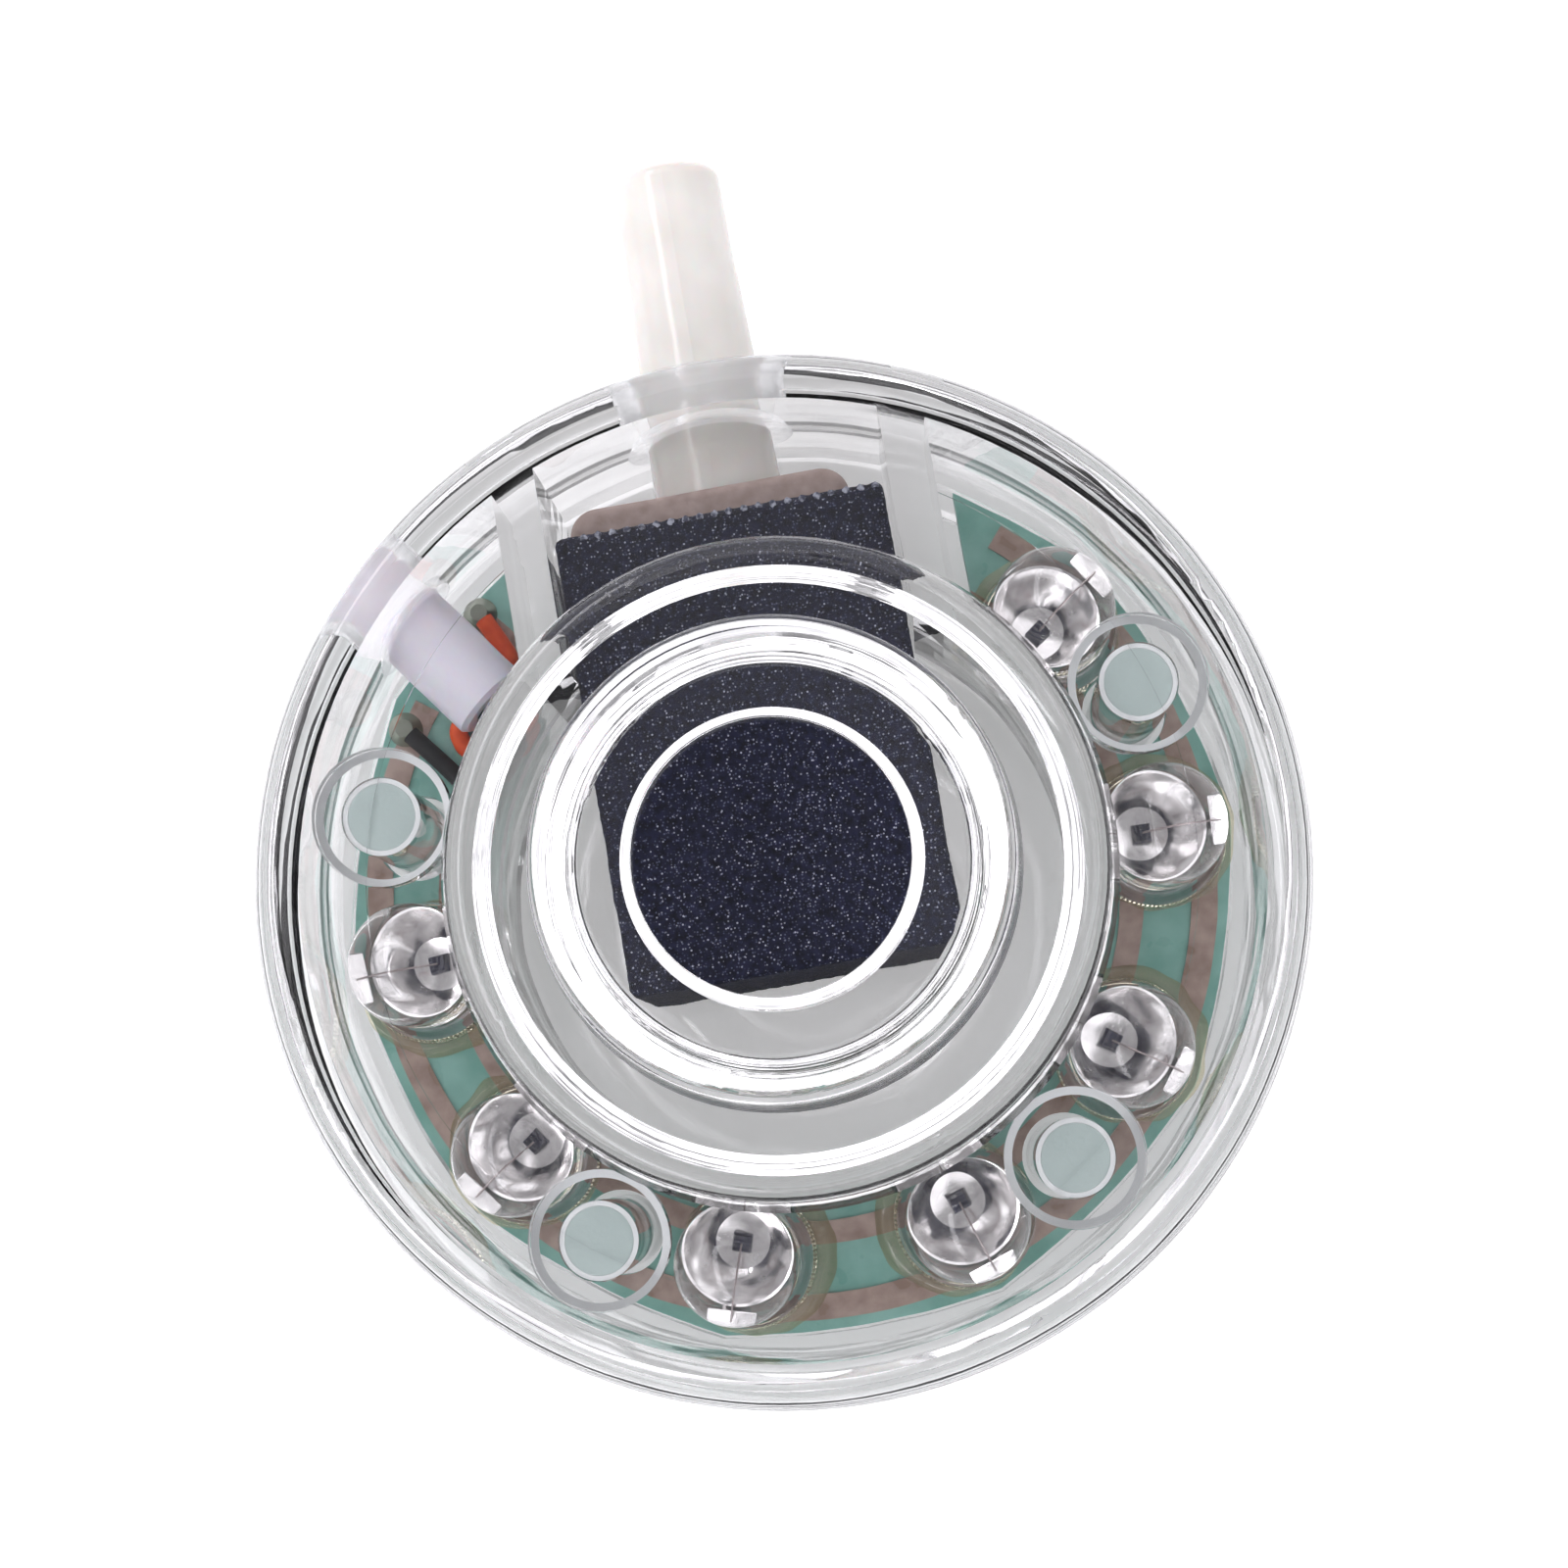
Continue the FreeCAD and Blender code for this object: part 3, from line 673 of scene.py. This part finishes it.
def led_resin(number, material):
    """Uneven skirt of resin that climbs from the board to the LED's flange."""
    offset = Vector((*RESIN_OFFSETS[number - 1], 0.0)) * MM
    seat = led_place(number).translation
    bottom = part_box("inner_track")[1].z + RESIN_GAP
    vertices = []
    for step in range(RESIN_SEGMENTS):
        outward = polar(1.0, 360.0 * step / RESIN_SEGMENTS, 0.0)
        swell = noise.noise((seat + outward * RESIN_FOOT_RADIUS) / RESIN_SWELL_SPACING) * RESIN_SWELL
        foot = seat + offset + outward * (RESIN_FOOT_RADIUS + swell)
        top = seat + outward * LENS_FLANGE_RADIUS
        for index in range(RESIN_CLIMB_STEPS + 1):
            share = index / RESIN_CLIMB_STEPS
            point = foot.lerp(top, 1.0 - (1.0 - share) ** 2)
            point.z = bottom + RESIN_HEIGHT * share ** 2
            vertices.append(keep_clear(point))
        inner = keep_clear(top)
        inner.z = bottom
        vertices.append(inner)
    faces = ring_faces(RESIN_SEGMENTS, RESIN_CLIMB_STEPS + 2)
    new_piece("led_resin_%d" % number, vertices, faces, material)


# Air stone

def rounded_box_point(point, low, high, edge):
    """Nearest point on the box with rounded edges, and its outward direction."""
    core = Vector([min(max(value, floor + edge), ceiling - edge)
                   for value, floor, ceiling in zip(point, low, high)])
    outward = (point - core).normalized()
    return core + outward * edge, outward


def stone_teeth(point, high):
    """How far the sawn teeth on the upper near edge cut in."""
    from_edge = math.hypot(high.y - point.y, high.z - point.z)
    share = max(0.0, 1.0 - from_edge / TOOTH_REACH)
    wave = 0.5 + 0.5 * math.sin(2 * math.pi * point.x / TOOTH_PITCH)
    return TOOTH_DEPTH * share * wave


def stone_surface_point(point, low, high):
    rounded, outward = rounded_box_point(point, low, high, STONE_EDGE)
    grain = 0.5 + 0.5 * noise.noise(rounded / STONE_GRAIN)
    return rounded - outward * (STONE_DEPTH * grain + stone_teeth(rounded, high))


def box_grid(low, high, step):
    """Points and quads of a box whose six faces are divided into squares of about the step."""
    counts = [max(2, round((top - bottom) / step)) for bottom, top in zip(low, high)]
    index_of = {}
    points = []
    faces = []

    def point_index(key):
        if key not in index_of:
            index_of[key] = len(points)
            points.append(Vector([bottom + (top - bottom) * place / count
                                  for bottom, top, place, count in zip(low, high, key, counts)]))
        return index_of[key]

    for axis in range(3):
        first, second = (axis + 1) % 3, (axis + 2) % 3
        for end in (0, counts[axis]):
            for i in range(counts[first]):
                for j in range(counts[second]):
                    corners = []
                    for di, dj in ((0, 0), (1, 0), (1, 1), (0, 1)):
                        key = [0, 0, 0]
                        key[axis], key[first], key[second] = end, i + di, j + dj
                        corners.append(point_index(tuple(key)))
                    faces.append(corners if end else corners[::-1])
    return points, faces


def air_stone(material):
    """Grainy stone in place of the plain CAD block."""
    low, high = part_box("air_stone")
    points, faces = box_grid(low, high, STONE_STEP)
    vertices = [stone_surface_point(point, low, high) for point in points]
    stone = new_piece("grainy_stone", vertices, faces, material)
    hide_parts("air_stone")


def stone_tooth_tips(material):
    """Pale crumbs along the sawn upper near edge, one on each tooth."""
    low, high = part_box("air_stone")
    count = int((high.x - low.x) / TOOTH_PITCH) - 1
    profile = []
    for step in range(BALL_STEPS + 1):
        angle = math.pi * step / BALL_STEPS
        profile.append((math.sin(angle), -math.cos(angle)))
    profile[0] = (0.0, -1.0)
    profile[-1] = (0.0, 1.0)
    ball, ball_faces = lathe(profile, BALL_SEGMENTS)
    crumbs = []
    for index in range(-(count // 2), count // 2 + 1):
        centre = Vector(((index + TOOTH_TIP_PLACE) * TOOTH_PITCH,
                         high.y - TOOTH_TIP_INSET * TOOTH_SIZE.y,
                         high.z - TOOTH_TIP_INSET * TOOTH_SIZE.z))
        vertices = []
        for vertex in ball:
            lump = 1.0 + TOOTH_LUMP * noise.noise(vertex * TOOTH_LUMP_SCALE + Vector((index, 0.0, 0.0)))
            place = Vector([value * size * lump for value, size in zip(vertex, TOOTH_SIZE)])
            vertices.append(centre + place)
        crumbs.append((vertices, ball_faces))
    vertices, faces = merged(crumbs)
    new_piece("stone_teeth", vertices, faces, material)


# Posts

def flat_ring(inner, outer, bottom, top, segments):
    """Closed flat ring about Z."""
    corners = ((inner, bottom), (outer, bottom), (outer, top), (inner, top))
    vertices = []
    for step in range(segments):
        angle = 360.0 * step / segments
        vertices += [polar(radius, angle, height) for radius, height in corners]
    return vertices, ring_faces(segments, len(corners))


def painted_highlight_rings(material):
    """Painted highlight: whitish rings round each post's top and at the mouth of its socket, standing in
    for their bright edges.
    """
    for number, angle in enumerate(POST_ANGLES, start=1):
        centre = polar(POST_CIRCLE_RADIUS, angle, 0.0)
        for name, levels in (("post_highlight_ring", POST_HIGHLIGHT_RING), ("socket_highlight_ring", SOCKET_HIGHLIGHT_RING)):
            vertices, faces = flat_ring(*levels, HIGHLIGHT_RING_SEGMENTS)
            vertices = [centre + vertex for vertex in vertices]
            new_piece("%s_%d" % (name, number), vertices, faces, material)


def post_faces(material):
    """Thin frosted disc on top of each post."""
    flat_radius = POST_FACE_RADIUS - POST_FACE_EDGE
    profile = [
        (0.0, POST_FACE_BOTTOM), (flat_radius, POST_FACE_BOTTOM),
        (POST_FACE_RADIUS, POST_FACE_BOTTOM + POST_FACE_EDGE),
        (POST_FACE_RADIUS, POST_FACE_TOP - POST_FACE_EDGE),
        (flat_radius, POST_FACE_TOP), (0.0, POST_FACE_TOP),
    ]
    for number, angle in enumerate(POST_ANGLES, start=1):
        centre = polar(POST_CIRCLE_RADIUS, angle, 0.0)
        vertices, faces = lathe(profile, POST_FACE_SEGMENTS)
        vertices = [centre + vertex for vertex in vertices]
        new_piece("post_face_%d" % number, vertices, faces, material)


# Whole object

def dress_cad_nodes():
    clear_plastic = clear_plastic_material()
    track = track_material()
    solder = metal_material("solder", (0.3, 0.32, 0.27), low=0.35, high=0.55)
    looks = {
        "base_shell": clear_plastic,
        "top_cover": clear_plastic,
        "stone_end_cap": cap_material(),
        "air_nozzle": nozzle_material(),
        "led_board": board_material(),
        "inner_track": track,
        "outer_track": track,
        "led_solder": solder,
        "lead_solder": solder,
        "cable_sleeve": sleeve_material(),
        "red_lead": lead_material("red_lead", dark=(0.78, 0.07, 0.008), light=(0.92, 0.11, 0.015)),
        "black_lead": lead_material("black_lead", dark=(0.003, 0.003, 0.004), light=(0.006, 0.006, 0.008)),
    }
    seal = seal_material()
    looks["nozzle_seal"] = seal
    looks["sleeve_seal"] = seal
    for node_name, material in looks.items():
        dress(node_name, material)


def add_pieces():
    epoxy = clear_epoxy_material()
    chip = lead_material("chip", dark=(0.012, 0.012, 0.03), light=(0.03, 0.03, 0.07))
    metal = lamp_metal_material()
    wire_metal = metal_material("bond_wire", (0.35, 0.3, 0.3), low=0.3, high=0.5)
    resin = resin_material()
    for number in LED_NUMBERS:
        led_lens(number, epoxy)
        dress("led_lens_%d" % number, epoxy)
        led_leads(number, metal)
        dress("led_frame_%d" % number, metal)
        led_chip(number, chip)
        led_wire(number, wire_metal)
        led_resin(number, resin)
    stone = stone_material()
    dress("air_stone", stone)
    air_stone(stone)
    stone_tooth_tips(tooth_material())
    post_faces(frosted_material())
    painted_highlight_rings(highlight_ring_material())


# Studio

def add_floor():
    mesh = bpy.data.meshes.new("floor")
    half = FLOOR_HALF_SIZE
    outline = ((-half, -half), (half, -half), (half, half), (-half, half))
    corners = [(x, y, -FLOOR_DROP) for x, y in outline]
    mesh.from_pydata(corners, [], [(0, 1, 2, 3)])
    mesh.materials.append(floor_material())
    floor = bpy.data.objects.new("floor", mesh)
    SCENE.collection.objects.link(floor)


def world_share(tree, direction, axis):
    """How far the view direction points along an axis."""
    node = tree.nodes.new("ShaderNodeVectorMath")
    node.operation = "DOT_PRODUCT"
    node.inputs[1].default_value = axis
    tree.links.new(direction, node.inputs[0])
    return node.outputs["Value"]


def world_light(tree, level, strength):
    """Tinted light of a strength, shaped by level."""
    tint = tree.nodes.new("ShaderNodeVectorMath")
    tint.operation = "SCALE"
    tint.inputs[0].default_value = STUDIO_TINT
    tree.links.new(level, tint.inputs["Scale"])
    node = tree.nodes.new("ShaderNodeBackground")
    node.inputs["Strength"].default_value = strength
    tree.links.new(tint.outputs["Vector"], node.inputs["Color"])
    return node.outputs["Background"]


def add_world():
    """White studio with a dark patch straight overhead and a long softbox along the left."""
    world = bpy.data.worlds.new("studio")
    SCENE.world = world
    world.use_nodes = True
    tree = world.node_tree
    direction = tree.nodes.new("ShaderNodeTexCoord").outputs["Generated"]
    height = world_share(tree, direction, (0.0, 0.0, 1.0))
    patches = tree.nodes.new("ShaderNodeTexNoise")
    patches.inputs["Scale"].default_value = PATCH_SCALE
    tree.links.new(direction, patches.inputs["Vector"])
    patch = level_ramp(tree, patches.outputs["Fac"], PATCH_LEVELS)
    sky = math_node(tree, "MULTIPLY", level_ramp(tree, height, SKY_LEVELS), patch)
    turn = math.radians(STRIP_FROM_ZENITH)
    toward = (-math.sin(turn), 0.0, math.cos(turn))
    across = (math.cos(turn), 0.0, math.sin(turn))
    width = math_node(tree, "ABSOLUTE", world_share(tree, direction, across))
    strip_width = level_ramp(tree, width, STRIP_WIDTH_LEVELS)
    strip_length = level_ramp(tree, world_share(tree, direction, toward), STRIP_LENGTH_LEVELS)
    strip = math_node(tree, "MULTIPLY", strip_width, strip_length)
    both = tree.nodes.new("ShaderNodeAddShader")
    tree.links.new(world_light(tree, sky, SKY_STRENGTH), both.inputs[0])
    tree.links.new(world_light(tree, strip, STRIP_STRENGTH), both.inputs[1])
    tree.links.new(both.outputs["Shader"], tree.nodes["World Output"].inputs["Surface"])


def add_camera():
    turn = Matrix.Rotation(-math.radians(CAMERA_TURN), 3, "Z")
    eye = turn @ CAMERA_EYE
    target = turn @ CAMERA_TARGET
    data = bpy.data.cameras.new("camera")
    data.sensor_width = CAMERA_SENSOR_WIDTH
    data.lens = CAMERA_LENS
    camera = bpy.data.objects.new("camera", data)
    SCENE.collection.objects.link(camera)
    forward = (target - eye).normalized()
    right = forward.cross(turn @ Vector((0.0, 1.0, 0.0))).normalized()
    up = right.cross(forward)
    camera.matrix_world = Matrix.Translation(eye) @ Matrix((right, up, -forward)).transposed().to_4x4()
    SCENE.camera = camera


def set_light_paths():
    SCENE.view_settings.view_transform = "Standard"
    SCENE.cycles.transmission_bounces = TRANSMISSION_BOUNCES
    SCENE.cycles.max_bounces = TOTAL_BOUNCES
    SCENE.cycles.diffuse_bounces = DIFFUSE_BOUNCES


dress_cad_nodes()
add_pieces()
add_floor()
add_world()
add_camera()
set_light_paths()
